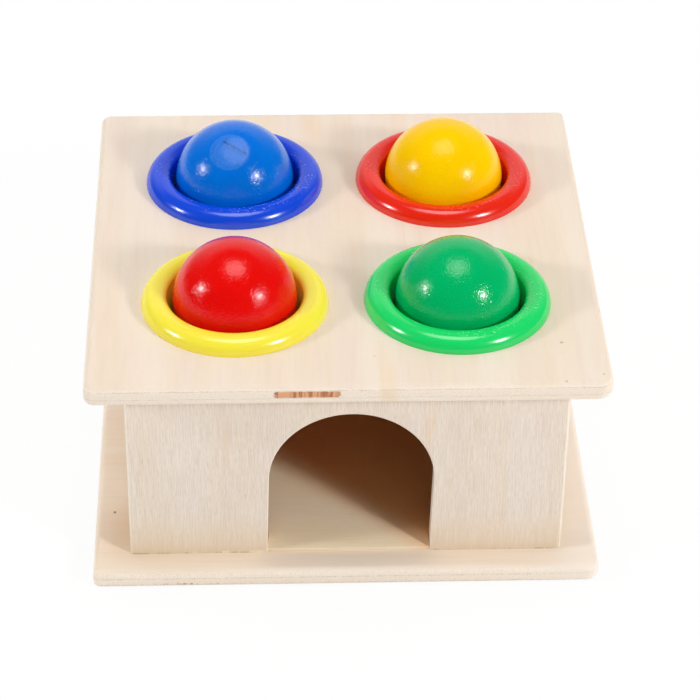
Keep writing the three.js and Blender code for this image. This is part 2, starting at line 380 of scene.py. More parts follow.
def wood_surface(lined, tint, height, depth):
    """Ends a wood material: sanded, bare and a little silky."""
    roughness = height * WOOD_UNEVENNESS + WOOD_ROUGHNESS
    shine = {"Roughness": roughness, "Specular IOR Level": WOOD_SHINE}
    lined.surface({"Base Color": tint, "Normal": height.bump(depth), **shine})


BASE_PLIES = (0.95, 2.93)
FLAT_BOARD = (0, 0, 0)
TURNED_BOARD = (0, 0, math.radians(90))
BASE_TONES = (colour(247, 232, 215), colour(244, 226, 204), colour(243, 224, 208))
LIT_SIDE_WOOD = colour(247, 235, 222)
SPECK_BROWN = colour(112, 86, 66)
SHADOWED_WOOD = colour(222, 186, 150)
PLATE_RELIEF = 0.02 * MM
PORE_HEIGHT = 1.25
PORE_CLUSTER = 23.0
PORES_ELSEWHERE = 0.15
PORE_SHARE = 0.6
PORE_RELIEF = 3.0
EDGE_TICK_SHARE = 0.1
LIT_SIDE_FROM = 102
LIT_SIDE_TO = 121
LIT_SIDE_SHARE = 0.7
SHADOW_PLACE = (16, -8, 5)
SHADOW_REACH = (15, 12, 3)
SHADOW_SHARE = 0.5
FLECK_PLACE = (23.2, -4.6, 5)
FLECK_REACH = (0.6, 0.45, 1)
FLECK_SHARE = 0.8
base_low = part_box("base_plate")[0]
base_wood, base_lined, base_tint, base_height = plywood(
    "base_plywood", base_low, TURNED_BOARD, BASE_PLIES, BASE_TONES, PLATE_GRAIN
)
base_parts = base_lined.node("SeparateXYZ", {}, {0: base_lined})
base_across = 0 - base_parts.beside(1)
base_depth = base_parts.beside(2)
open_pores = base_lined.noise((0.9, 0.9, 0.2), 2.0, 0.7).rise(0.55, 0.62)
open_pores = base_depth.band(PORE_HEIGHT, 0.3, 0.2) * open_pores
pore_cluster = base_across.band(PORE_CLUSTER, 6.0, 6.0)
open_pores = open_pores * (pore_cluster * (1 - PORES_ELSEWHERE) + PORES_ELSEWHERE)
base_tint = (open_pores * PORE_SHARE).tinted(base_tint, SPECK_BROWN)
edge_ticks = base_lined.noise((1.0, 1.0, 0.3), 2.0).rise(0.5, 0.62)
edge_ticks = base_depth.band(BASE_PLIES[1], 0.3, 0.25) * edge_ticks
base_tint = (edge_ticks * EDGE_TICK_SHARE).tinted(base_tint, PORE_WOOD)
# Painted light: the base plate is painted paler towards its right side, as if the right softbox lit it
# more there.
base_tint = (base_across.rise(LIT_SIDE_FROM, LIT_SIDE_TO) * LIT_SIDE_SHARE).tinted(base_tint, LIT_SIDE_WOOD)
# Painted shadow: the base's strip left of the front wall, under the top plate's overhang, is painted
# darker and warmer.
base_shadow = base_lined.blot(SHADOW_PLACE, SHADOW_REACH, 1.0)
base_tint = (base_shadow * SHADOW_SHARE).tinted(base_tint, SHADOWED_WOOD)
base_fleck = base_lined.blot(FLECK_PLACE, FLECK_REACH)
base_tint = (base_fleck * FLECK_SHARE).tinted(base_tint, SPECK_BROWN)
wood_surface(base_lined, base_tint, base_height - open_pores * PORE_RELIEF, PLATE_RELIEF)
clothe(base_plate, base_wood)
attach(base_plate, "box")
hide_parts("base_plate")

# Walls: four boards of the same plywood with the grain upright, glued and bradded.
# The front and back walls run the whole width, the side walls stand between them.
# The front wall has a sawn arch for the balls to roll out of, with its edges eased.

ARCH_STEPS = 48
WALL_CORNER_RADIUS = 0.9 * MM
WALL_EASED_EDGE = 0.4 * MM
UPRIGHT_FACING_FRONT = (math.radians(90), 0, 0)
UPRIGHT_FACING_SIDE = (math.radians(90), 0, math.radians(90))
WALL_PLIES = (1.6, 3.4)


def ease(piece, width, glued=()):
    """Takes the sharpness off every edge of a board, but not off the ones that lie at the
    heights where it is glued."""
    edit(piece, "EDGE")
    bpy.ops.mesh.edges_select_sharp(sharpness=SMOOTH_ANGLE)
    mesh = bmesh.from_edit_mesh(piece.data)
    for edge in mesh.edges:
        first, second = [point.co.z for point in edge.verts]
        if any(abs(first - height) + abs(second - height) < SAME_PLACE for height in glued):
            edge.select_set(False)
            edge.smooth = False
    bmesh.update_edit_mesh(piece.data)
    bpy.ops.transform.edge_bevelweight(value=1)
    pick_up(piece)
    bpy.ops.object.shade_smooth()
    sanding = piece.modifiers.new("sanding", "BEVEL")
    sanding.width = width
    sanding.segments = 3
    sanding.limit_method = "WEIGHT"
    sanding.harden_normals = True
    bpy.ops.object.modifier_apply(modifier=sanding.name)


def upright_outside(y):
    """A test for the upright edges on the outer face at this y."""
    return lambda a, b: abs(a.z - b.z) > SAME_PLACE and abs(a.y - y) < SAME_PLACE


front_low, front_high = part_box("front_wall")
front_wall = block("front_wall_board", front_low, front_high)
choose_edges(front_wall, upright_outside(front_low.y))
bpy.ops.mesh.bevel(offset=WALL_CORNER_RADIUS, segments=5, affect="EDGES")

ARCH_WIDTH = 39.6 * MM
ARCH_MIDDLE = 0.6 * MM
ARCH_TOP = 46.8 * MM
ARCH_SLANT = math.radians(-1.2)
arch_saw = block(
    "arch_saw",
    (ARCH_MIDDLE - ARCH_WIDTH / 2, front_low.y - ARCH_WIDTH, -ARCH_WIDTH),
    (ARCH_MIDDLE + ARCH_WIDTH / 2, front_high.y + ARCH_WIDTH, ARCH_TOP),
)
choose_edges(
    arch_saw,
    lambda a, b: min(a.z, b.z) > ARCH_TOP - SAME_PLACE and abs(a.y - b.y) > SAME_PLACE,
)
bpy.ops.mesh.bevel(offset=ARCH_WIDTH / 2 - SAME_PLACE, segments=ARCH_STEPS, affect="EDGES")
bpy.ops.mesh.select_all(action="SELECT")
bpy.ops.mesh.remove_doubles(threshold=4 * SAME_PLACE)
arch_foot = (ARCH_MIDDLE, 0, front_low.z)
bpy.ops.transform.rotate(value=ARCH_SLANT, orient_axis="Y", center_override=arch_foot)
cut_away(front_wall, arch_saw)
ease(front_wall, WALL_EASED_EDGE, (front_low.z, front_high.z))

back_low, back_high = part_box("back_wall")
back_wall = block("back_wall_board", back_low, back_high)
choose_edges(back_wall, upright_outside(back_high.y))
bpy.ops.mesh.bevel(offset=WALL_CORNER_RADIUS, segments=5, affect="EDGES")
ease(back_wall, WALL_EASED_EDGE, (back_low.z, back_high.z))

left_wall = block("left_wall_board", *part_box("left_wall"))
ease(left_wall, WALL_EASED_EDGE, (front_low.z, front_high.z))
right_wall = block("right_wall_board", *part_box("right_wall"))
ease(right_wall, WALL_EASED_EDGE, (front_low.z, front_high.z))

WALL_TONES = (colour(239, 227, 215), colour(238, 224, 208), colour(236, 221, 209))
WALL_GRAIN = {"fine": 0.26, "lines": 0.05, "streaks": 0.2}
INNER_SHADE = colour(244, 182, 130)
FRESH_EDGE_AND_HIGHLIGHT = colour(255, 246, 232)
DRY_GLUE = colour(252, 240, 214)
FOOT_SHADE = colour(238, 214, 178)
WALL_RELIEF = 0.03 * MM
BASE_THICKNESS = 5
FOOT_SHADE_RISE = 15.0
FOOT_SHADE_SHARE = 0.5
INNER_SHADE_DEPTH = 0.5
INNER_SHADE_REACH = 47.5
ARCH_ACROSS = 53.6
WARM_SHARE = 0.5
HIGHLIGHT_BY_ARCH = 0.65
FRESH_EDGE_ELSEWHERE = 0.3
SEAM_SHARE = 0.5
GLUE_BEAD_SHARE = 0.8
WALL_CUTS = (
    (front_wall, "front_wall", UPRIGHT_FACING_FRONT, (-53, -49.5, 5), 0),
    (back_wall, "back_wall", UPRIGHT_FACING_FRONT, (70, 54.5, 105), 5),
    (left_wall, "left_wall", UPRIGHT_FACING_SIDE, (-52.5, 180, 5), 5),
    (right_wall, "right_wall", UPRIGHT_FACING_SIDE, (47.5, -260, 45), 0),
)
for wall, node, turn, corner, inner_face in WALL_CUTS:
    wood, lined, tint, height = plywood(
        f"{node}_plywood", [value * MM for value in corner], turn, WALL_PLIES, WALL_TONES, WALL_GRAIN
    )
    across = lined.node("SeparateXYZ", {}, {0: lined})
    depth = across.beside(2)
    rise_from_base = across.beside(1) + (corner[2] - BASE_THICKNESS)
    # Painted shade: each wall is painted warmer and darker towards its foot, where it meets the base.
    shaded_foot = 1 - rise_from_base.rise(-1.0, FOOT_SHADE_RISE)
    tint = (shaded_foot * FOOT_SHADE_SHARE).tinted(tint, FOOT_SHADE)
    start_across = corner[0] if turn is UPRIGHT_FACING_FRONT else corner[1]
    from_middle = abs(across + start_across)
    # Painted shade: the wall's inner face is painted orange-brown, so the dark inside of the box looks
    # deeper and warmer.
    inside = depth.band(inner_face, INNER_SHADE_DEPTH, 0.2)
    inside = inside * from_middle.rise(INNER_SHADE_REACH, INNER_SHADE_REACH - 0.2)
    tint = inside.tinted(tint, INNER_SHADE)
    if wall is front_wall:
        warm_grain = lined.blot((72.4, 39.5, 5), (2.4, 12, 2))
        warm_grain = warm_grain + lined.blot((24, 34.8, 5), (1.8, 9, 2)) * 0.6
        warm_grain = warm_grain * lined.noise((1.2, 0.08, 1.0)).rise(0.35, 0.6)
        tint = (warm_grain * WARM_SHARE).tinted(tint, STREAK_WOOD)
        # Partly real and partly painted highlight: the eased edges of the front face are sanded paler,
        # and painted paler still round the arch, where the jambs catch the right softbox.
        sanded_off = depth.rise(4.97, 4.9) * depth.rise(4.3, 4.6)
        by_arch = abs(across - ARCH_ACROSS).rise(26.0, 24.0)
        fresh_and_lit = sanded_off * (by_arch * HIGHLIGHT_BY_ARCH + FRESH_EDGE_ELSEWHERE)
        tint = fresh_and_lit.tinted(tint, FRESH_EDGE_AND_HIGHLIGHT)
        squeezed = lined.noise((0.5, 0.5, 0.5), 2.0)
        seam = 1 - rise_from_base.rise(0.2, 0.5)
        tint = (seam * squeezed.rise(0.5, 0.6) * SEAM_SHARE).tinted(tint, GLUE_LINE)
        glue_beads = (1 - rise_from_base.rise(0.5, 0.9)) * squeezed.rise(0.44, 0.4)
        glue_beads = glue_beads * lined.noise((0.05, 0.05, 0.05)).rise(0.45, 0.6)
        tint = (glue_beads * GLUE_BEAD_SHARE).tinted(tint, DRY_GLUE)
    wood_surface(lined, tint, height, WALL_RELIEF)
    clothe(wall, wood)
    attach(wall, "box")
    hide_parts(node)

# Ramp: a thin board that slopes from the back wall down to the arch, where its planed
# nose runs out between the jambs. A batten under its high end holds it at its slope.
# Its grain runs from side to side. Past a slanting line from its front left it is painted darker and
# warmer: a painted shade where the light through the arch does not fall.

RAMP_EASED_EDGE = 0.15 * MM


def dressed_copy(name, node, width):
    """A copy of a solid as one clean mesh with its edges eased."""
    lay_down()
    copy = frame["nodes"][node].copy()
    copy.data = frame["nodes"][node].data.copy()
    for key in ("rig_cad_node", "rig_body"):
        del copy[key]
    copy.parent = None
    bpy.context.scene.collection.objects.link(copy)
    tell_name(copy, name)
    edit(copy, "VERT")
    bpy.ops.mesh.select_all(action="SELECT")
    bpy.ops.mesh.remove_doubles(threshold=SAME_PLACE)
    bpy.ops.mesh.dissolve_limited(angle_limit=math.radians(1))
    ease(copy, width)
    return copy


ramp_board = dressed_copy("ramp_board_planed", "ramp_board", RAMP_EASED_EDGE)
ramp_batten = dressed_copy("ramp_batten_strip", "ramp_batten", RAMP_EASED_EDGE)

TONGUE_SPREAD = 0.4 * MM
for side in (-1, 1):
    mesh = edit(ramp_board, "VERT")
    for point in mesh.verts:
        point.select_set(point.co.y < front_high.y and (point.co.x - ARCH_MIDDLE) * side > 0)
    mesh.select_flush_mode()
    bmesh.update_edit_mesh(ramp_board.data)
    bpy.ops.transform.translate(value=(side * TONGUE_SPREAD, 0, 0))
lay_down()

RAMP_TONES = (colour(255, 238, 208), colour(255, 233, 198), colour(254, 234, 204))
RAMP_SHADE = colour(232, 160, 96)
RAMP_GRAIN = {"fine": 0.05, "lines": 0.04, "streaks": 0.1}
NO_GLUE_LINES = (-90, -80)
SHADOW_EDGE_SLANT = 0.81
SHADOW_EDGE_START = 50
RAMP_SHADE_SHARE = 0.92
RAMP_CUTS = ((ramp_board, "ramp_board", (-30, -55, -40)), (ramp_batten, "ramp_batten", (-80, 20, -90)))
for strip, node, corner in RAMP_CUTS:
    wood, lined, tint, height = plywood(
        f"{node}_wood",
        [value * MM for value in corner],
        TURNED_BOARD,
        NO_GLUE_LINES,
        RAMP_TONES,
        RAMP_GRAIN,
    )
    inwards = lined.node("SeparateXYZ", {}, {0: lined})
    leftwards = inwards.beside(1)
    # Painted shade: past the slanting edge of the light through the arch, the wood is painted darker
    # and warmer.
    past_the_light = inwards - (leftwards + SHADOW_EDGE_START) * SHADOW_EDGE_SLANT
    tint = (past_the_light.rise(-6.0, 9.0) * RAMP_SHADE_SHARE).tinted(tint, RAMP_SHADE)
    wood_surface(lined, tint, height, WALL_RELIEF)
    clothe(strip, wood)
    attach(strip, "box")
    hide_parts(node)

# Top plate: the base plate's twin, with a hole sawn for each ring.
# It is glued and bradded to the walls, and its brads are filled over and sanded flush.
# A patch of darker wood shows in the core at its front edge.

HOLE_CLEARANCE = 0.3 * MM
HOLE_FACETS = 96
RING_SLEEVE_RADIUS = 18.5 * MM
RING_PLACES = ("blue", "red", "yellow", "green")
TOP_PLIES = (2.05, 4.05)
TOP_CORNER_RADII = {(-1, -1): 2.6 * MM, (1, -1): 3.8 * MM, (-1, 1): 2.6 * MM, (1, 1): 1.8 * MM}

top_plate = rounded_plate("top_plate_board", "top_plate", TOP_CORNER_RADII)
top_low, top_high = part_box("top_plate")
for ring in RING_PLACES:
    ring_low, ring_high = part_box(f"{ring}_ring")
    middle = (ring_low + ring_high) / 2
    reach = Vector((RING_SLEEVE_RADIUS, RING_SLEEVE_RADIUS, 0))
    sleeve_low = Vector((middle.x, middle.y, top_low.z - PLATE_EDGE_RADIUS)) - reach
    sleeve_high = Vector((middle.x, middle.y, top_high.z + PLATE_EDGE_RADIUS)) + reach
    drill(top_plate, sleeve_low, sleeve_high, HOLE_CLEARANCE, facets=HOLE_FACETS)
close(top_plate)

TOP_TONES = (colour(237, 222, 205), colour(234, 215, 194), colour(233, 214, 200))
PATCH_WOOD = colour(222, 166, 124)
PATCH_TICK = colour(176, 112, 76)
PATCH_MIDDLE = 51.65
PATCH_HEIGHT = 3.08
PATCH_LENGTH = 14.6
PATCH_THICKNESS = 1.44
SPECK_SHARE = 0.45
WARM_HEART_SHARE = 0.35
PLATE_MIDDLE = 61.5
TOP_SPECKS = (
    (112.1, 16.8, 0.55),
    (67.7, 12.3, 0.3),
    (122.7, 30.2, 0.35),
    (111.8, 1.4, 0.4),
    (120.7, 4.1, 0.35),
)
top_wood, top_lined, top_tint, top_height = plywood(
    "top_plywood", top_low, FLAT_BOARD, TOP_PLIES, TOP_TONES, PLATE_GRAIN
)
for speck_across, speck_along, speck_size in TOP_SPECKS:
    speck = top_lined.blot((speck_across, speck_along, 5), (speck_size, speck_size, 2))
    top_tint = (speck * SPECK_SHARE).tinted(top_tint, SPECK_BROWN)
top_across = top_lined.node("SeparateXYZ", {}, {0: top_lined})
top_along = top_across.beside(1)
top_depth = top_across.beside(2)
warm_heart = top_across.band(55.5, 2.0, 3.0) * top_along.rise(95, 120)
warm_heart = warm_heart + top_across.band(70.4, 1.5, 2.5) * top_along.rise(22, 4)
top_tint = (warm_heart * WARM_HEART_SHARE).tinted(top_tint, STREAK_WOOD)
ragged = top_lined.noise((0.8, 0.8, 2.0), 2.0) - 0.5
patch = (top_across + ragged * 3.0).band(PATCH_MIDDLE, PATCH_LENGTH, 0.6)
patch = patch * (top_depth + ragged * 0.3).band(PATCH_HEIGHT, PATCH_THICKNESS, 0.2)
patch = patch * top_along.rise(3.0, 2.0)
patch_ticks = top_lined.noise((1.1, 0.3, 0.12), 3.0, 0.6).rise(0.45, 0.62)
top_tint = patch.tinted(top_tint, patch_ticks.tinted(PATCH_WOOD, PATCH_TICK))
# Painted shade: the plate's underside inside the box is painted the same orange-brown.
shaded_underside = abs(top_across - PLATE_MIDDLE).rise(48.0, 47.0)
shaded_underside = shaded_underside * abs(top_along - PLATE_MIDDLE).rise(50.0, 49.0)
top_tint = (shaded_underside * top_depth.rise(0.3, 0.2)).tinted(top_tint, INNER_SHADE)
wood_surface(top_lined, top_tint, top_height, PLATE_RELIEF)
clothe(top_plate, top_wood)
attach(top_plate, "box")
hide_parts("top_plate")

# Rings: soft glossy plastic, moulded in one piece. A rounded bead lies on the plate,
# a sleeve goes down the hole and its barb snaps under the plate. The throat inside
# holds the ball by a little less than its diameter.

RING_STEPS = 160
SHOULDER_STEPS = 20
CROWN_STEPS = 22
OUTER_RADIUS = 22.5 * MM
CREST_RADIUS = 19.3 * MM
CREST_HEIGHT = 3.65 * MM
LIP_RADIUS = 16.3 * MM
LIP_HEIGHT = 1.5 * MM
CROWN_SQUARENESS = 2.6
THROAT_RADIUS = 14.5 * MM
THROAT_LENGTH = 1.0 * MM
THROAT_BELOW_BALL = 4.883 * MM
FOOT_RADIUS = 15.6 * MM
BARB_RADIUS = 19.4 * MM
BARB_TAPER = 1.2 * MM
BARB_DEPTH = 5.3 * MM
RING_DEPTH = 6.3 * MM
RING_BALLS = {"blue": "blue", "red": "yellow", "yellow": "red", "green": "green"}


def ring_outline(throat):
    """The ring's cut from the plate over the bead, down the throat and up the sleeve.
    Each point is a radius and a height over the plate."""
    outline = []
    for step in range(1, SHOULDER_STEPS + 1):
        turn = math.pi / 2 * step / SHOULDER_STEPS
        width = (OUTER_RADIUS - CREST_RADIUS) * math.cos(turn)
        outline.append((CREST_RADIUS + width, CREST_HEIGHT * math.sin(turn)))
    for step in range(1, CROWN_STEPS + 1):
        turn = math.pi / 2 * step / CROWN_STEPS
        across = math.sin(turn) ** (2 / CROWN_SQUARENESS)
        up = max(math.cos(turn), 0) ** (2 / CROWN_SQUARENESS)
        radius = CREST_RADIUS - (CREST_RADIUS - LIP_RADIUS) * across
        outline.append((radius, LIP_HEIGHT + (CREST_HEIGHT - LIP_HEIGHT) * up))
    outline.append((THROAT_RADIUS, throat))
    outline.append((THROAT_RADIUS, throat - THROAT_LENGTH))
    outline.append((FOOT_RADIUS, -RING_DEPTH))
    outline.append((BARB_RADIUS - BARB_TAPER, -RING_DEPTH))
    outline.append((BARB_RADIUS, -BARB_DEPTH))
    outline.append((RING_SLEEVE_RADIUS, -BARB_DEPTH))
    outline.append((RING_SLEEVE_RADIUS, 0.0))
    return outline


def round_edges(piece, centre, radii):
    """Selects the edges that lie on circles of these radii, level with their centre."""

    def on_circle(point):
        reach = math.hypot(point.x - centre.x, point.y - centre.y)
        level = abs(point.z - centre.z) < SAME_PLACE
        return level and min(abs(reach - radius) for radius in radii) < SAME_PLACE

    choose_edges(piece, lambda a, b: on_circle(a) and on_circle(b))


def moulded_ring(name, centre, throat):
    """A ring drawn along its outline, circle by circle, from the bead's outer edge."""
    lay_down()
    bpy.ops.mesh.primitive_circle_add(vertices=RING_STEPS, radius=OUTER_RADIUS, location=centre)
    bpy.ops.object.transform_apply(location=True, rotation=True, scale=True)
    ring = tell_name(bpy.context.object, name)
    round_edges(ring, centre, [OUTER_RADIUS])
    radius = OUTER_RADIUS
    height = 0
    for next_radius, next_height in ring_outline(throat):
        climb = {"value": (0, 0, next_height - height)}
        bpy.ops.mesh.extrude_edges_move(TRANSFORM_OT_translate=climb)
        spread = next_radius / radius
        bpy.ops.transform.resize(value=(spread, spread, 1), center_override=centre)
        radius = next_radius
        height = next_height
    round_edges(ring, centre, [RING_SLEEVE_RADIUS, OUTER_RADIUS])
    bpy.ops.mesh.bridge_edge_loops()
    bpy.ops.mesh.select_all(action="SELECT")
    bpy.ops.mesh.normals_make_consistent(inside=False)
    close(ring)
    return ring


def copied(piece, name, shift):
    """A copy of a piece, with a mesh of its own that lies a shift away."""
    pick_up(piece)
    bpy.ops.object.duplicate(linked=False)
    copy = tell_name(bpy.context.object, name)
    bpy.ops.transform.translate(value=shift)
    bpy.ops.object.transform_apply(location=True, rotation=True, scale=True)
    return copy


def plastic(name, centre, main, dust, dusty):
    """Glossy moulded plastic, a little uneven, with fine pale pits and dust near the lip."""
    material, place = new_material(name)
    centred = place.node("Mapping", {"vector_type": "TEXTURE"}, {"Vector": place, "Location": centre})
    level = centred.stretched((1, 1, 0))
    reach = level.node("VectorMath", {"operation": "LENGTH"}, {0: level}, output=1)
    wave = centred.noise((90, 90, 90), 2.0)
    pits = centred.noise((2100, 2100, 2100), 1.0).rise(0.63, 0.72)
    patches = centred.noise((150, 150, 150), 2.0).rise(0.42, 0.62)
    near_lip = reach.band(DUST_RADIUS, DUST_WIDTH, DUST_BLUR)
    specks = pits * patches * near_lip * dusty
    tint = (specks * DUST_SHARE).tinted(main, dust)
    height = wave * PLASTIC_WAVES + specks
    centred.surface(
        {
            "Base Color": tint,
            "Roughness": specks * DUST_ROUGHNESS + PLASTIC_ROUGHNESS,
            "Normal": height.bump(PLASTIC_RELIEF),
            "Specular IOR Level": PLASTIC_SHINE,
        }
    )
    return material


DUST_RADIUS = 17.9 * MM
DUST_WIDTH = 3.2 * MM
DUST_BLUR = 1.8 * MM
DUST_SHARE = 0.8
DUST_ROUGHNESS = 0.3
PLASTIC_WAVES = 5.0
PLASTIC_RELIEF = 0.02 * MM
PLASTIC_ROUGHNESS = 0.2
PLASTIC_SHINE = 0.75
RING_COLOURS = {
    "blue": (colour(6, 70, 219), colour(150, 170, 232), 0.8),
    "red": (colour(235, 34, 8), colour(250, 140, 128), 0.6),
    "yellow": (colour(249, 234, 66), colour(255, 250, 190), 0.3),
    "green": (colour(20, 216, 104), colour(150, 245, 190), 0.8),
}
ring_centres = {}
ball_centres = {}
throats = {}
for name, ball in RING_BALLS.items():
    ring_low, ring_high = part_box(f"{name}_ring")
    ball_low, ball_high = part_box(f"{ball}_ball")
    ball_centres[ball] = (ball_low + ball_high) / 2
    ring_centres[name] = Vector((ball_centres[ball].x, ball_centres[ball].y, top_high.z))
    throats[name] = ball_centres[ball].z - THROAT_BELOW_BALL - top_high.z
rings = {"blue": moulded_ring("blue_ring_moulded", ring_centres["blue"], throats["blue"])}
for name in ("red", "yellow", "green"):
    shift = ring_centres[name] - ring_centres["blue"]
    rings[name] = copied(rings["blue"], f"{name}_ring_moulded", shift)
    throat_rim = ring_centres[name] + Vector((0, 0, throats["blue"]))
    round_edges(rings[name], throat_rim, [THROAT_RADIUS])
    bpy.ops.transform.translate(value=(0, 0, throats[name] - throats["blue"]))
    close(rings[name])
for name, (main, dust, dusty) in RING_COLOURS.items():
    clothe(rings[name], plastic(f"{name}_plastic_skin", ring_centres[name], main, dust, dusty))
    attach(rings[name], "box")
    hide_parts(f"{name}_ring")

# Balls: turned from wood, dipped in gloss paint and dried, so the paint has orange peel.
# Each was parted off the lathe at a flat. The blue one shows it, a wide one, and the
# others lie with a small one underneath. Each sits in its ring until it is pounded through.

BALL_RADIUS = 15 * MM
BALL_AROUND = 128
BALL_RINGS = 72
FLAT_ROUNDING = 0.12 * MM


def turned_ball(name, centre, flat_radius, roll, lean):
    """A ball that is parted off at the top, rolled towards the front and leaned to the right."""
    lay_down()
    bpy.ops.mesh.primitive_uv_sphere_add(
        segments=BALL_AROUND, ring_count=BALL_RINGS, radius=BALL_RADIUS, location=centre
    )
    bpy.ops.object.transform_apply(location=True, rotation=True, scale=True)
    ball = tell_name(bpy.context.object, name)
    flat_height = math.sqrt(BALL_RADIUS**2 - flat_radius**2)
    flat_centre = centre + Vector((0, 0, flat_height))
    edit(ball, "VERT")
    bpy.ops.mesh.select_all(action="SELECT")
    bpy.ops.mesh.bisect(plane_co=flat_centre, plane_no=(0, 0, 1), clear_outer=True, use_fill=True)
    round_edges(ball, flat_centre, [flat_radius])
    bpy.ops.mesh.bevel(offset=FLAT_ROUNDING, segments=3, affect="EDGES")
    choose_faces(ball, lambda middle, normal: (middle - flat_centre).length < SAME_PLACE)
    bpy.ops.mesh.inset(thickness=FLAT_ROUNDING)
    bpy.ops.mesh.select_all(action="SELECT")
    bpy.ops.transform.rotate(value=-roll, orient_axis="X", center_override=centre)
    bpy.ops.transform.rotate(value=-lean, orient_axis="Y", center_override=centre)
    bpy.ops.mesh.normals_make_consistent(inside=False)
    close(ball)
    return ball


def gloss_paint(name, main, deep, gloss, centre, flat_radius, roll, lean):
    """Gloss paint with fine orange peel. The parting tool left two grooves across the flat,
    where the paint dried dull."""
    material, place = new_material(name)
    tilt = Quaternion((0, 1, 0), lean) @ Quaternion((1, 0, 0), roll)
    flat_centre = centre + tilt @ Vector((0, 0, math.sqrt(BALL_RADIUS**2 - flat_radius**2)))
    flat_turn = (tilt @ Quaternion((0, 0, 1), GROOVE_LEAN)).to_euler()
    scored = place.node(
        "Mapping",
        {"vector_type": "TEXTURE"},
        {"Vector": place, "Location": flat_centre, "Rotation": flat_turn, "Scale": [flat_radius] * 3},
    )
    along = scored.node("SeparateXYZ", {}, {0: scored})
    across = along.beside(1)
    on_flat = along.beside(2).band(0.0, 0.03, 0.02)
    grooves = across.band(0.34, 0.06, 0.08) + across.band(0.14, 0.02, 0.06) * 0.4
    grooves = grooves * along.band(0.05, 1.3, 0.2) * on_flat
    grooves = grooves * scored.noise((5, 5, 5), 2.0).rise(0.3, 0.55)
    groove_shade = [part * GROOVE_DARKNESS for part in deep[:3]] + [1.0]
    thick = place.noise((140, 140, 140), 2.0)
    peel = place.noise((2400, 2400, 2400), 0.0)
    tint = (thick.rise(0.35, 0.7) * DEEP_PAINT_SHARE).tinted(main, deep)
    tint = (on_flat * SCUFF_SHARE).tinted(tint, SCUFFED_WHITE)
    mottled = on_flat * scored.noise((7, 7, 7), 3.0, 0.7).rise(0.45, 0.65)
    tint = (mottled * MOTTLE_SHARE).tinted(tint, groove_shade)
    tint = (grooves * GROOVE_SHARE).tinted(tint, groove_shade)
    height = peel - grooves * GROOVE_RELIEF - mottled * MOTTLE_RELIEF
    above_middle = place.node("SeparateXYZ", {}, {0: place}).beside(2) - centre.z
    upper = above_middle.rise(GLAZE_START, GLAZE_FULL)
    place.surface(
        {
            "Base Color": tint,
            "Roughness": thick * PAINT_UNEVENNESS + on_flat * FLAT_ROUGHNESS + PAINT_ROUGHNESS,
            "Normal": height.bump(PEEL_RELIEF),
            "Specular IOR Level": PAINT_SHINE * gloss,
            "Coat Weight": upper * (GLAZE_WEIGHT * gloss),
            "Coat Roughness": GLAZE_ROUGHNESS,
        }
    )
    return material


GROOVE_LEAN = math.radians(-37)
GROOVE_DARKNESS = 0.22
GROOVE_SHARE = 0.65
GROOVE_RELIEF = 0.8
MOTTLE_SHARE = 0.16
MOTTLE_RELIEF = 0.3
SCUFFED_WHITE = colour(200, 240, 255)
SCUFF_SHARE = 0.03
DEEP_PAINT_SHARE = 0.5
PEEL_RELIEF = 0.085 * MM
PAINT_ROUGHNESS = 0.06
PAINT_UNEVENNESS = 0.04
FLAT_ROUGHNESS = 0.2
PAINT_SHINE = 0.24
GLAZE_START = 0.2 * BALL_RADIUS
GLAZE_FULL = 0.4 * BALL_RADIUS
GLAZE_WEIGHT = 0.28
GLAZE_ROUGHNESS = 0.12
SMALL_FLAT = 1.6 * MM
WIDE_FLAT = 4.8 * MM
BALL_COLOURS = {
    "blue": (colour(0, 112, 219), colour(0, 105, 210), 1.0),
    "yellow": (colour(255, 203, 0), colour(253, 195, 0), 0.58),
    "red": (colour(230, 12, 8), colour(222, 8, 4), 1.0),
    "green": (colour(0, 180, 102), colour(0, 172, 94), 1.0),
}
BALL_FLATS = {
    "blue": (WIDE_FLAT, math.radians(30), math.radians(-5)),
    "yellow": (SMALL_FLAT, math.radians(205), math.radians(12)),
    "red": (SMALL_FLAT, math.radians(160), math.radians(-8)),
    "green": (SMALL_FLAT, math.radians(190), math.radians(20)),
}
for name, (main, deep, gloss) in BALL_COLOURS.items():
    centre = ball_centres[name]
    flat = BALL_FLATS[name]
    ball = turned_ball(f"{name}_ball_painted", centre, *flat)
    paint = gloss_paint(f"{name}_gloss_paint", main, deep, gloss, centre, *flat)
    clothe(ball, paint)
    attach(ball, f"{name}_ball")
    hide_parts(f"{name}_ball")

# Brads: thin steel nails with small heads, driven through both plates into the walls.
# Only the heads in the base plate's underside show, each sunk a little into the wood.

STEEL_DULL = colour(192, 191, 188)
STEEL_BRIGHT = colour(208, 207, 204)
STEEL_ROUGHNESS = 0.28
STEEL_SCUFFING = 0.2
steel, steel_place = new_material("bright_steel")
scuffs = steel_place.noise((2500, 2500, 400), 2.0)
steel_place.surface(
    {
        "Base Color": scuffs.rise(0.3, 0.7).tinted(STEEL_DULL, STEEL_BRIGHT),
        "Metallic": 1.0,
        "Roughness": scuffs * STEEL_SCUFFING + STEEL_ROUGHNESS,
    }
)
for spot in BRAD_SPOTS:
    clothe(frame["nodes"][f"top_brad_{spot}"], steel)
    clothe(frame["nodes"][f"base_brad_{spot}"], steel)

# Studio: a white floor under a white sky, one softbox at the front right, a weaker one at
# the left, each brighter in its middle, a broad one overhead, and a camera with a long lens.
# The sky is plain white to the camera, lights the toy most from behind and is mirrored low.

FLOOR_REACH = 3.0
FLOOR_WHITE = colour(250, 250, 250)
FLOOR_SHOWN_WHITE = 0.9
PURE_WHITE = (1, 1, 1, 1)

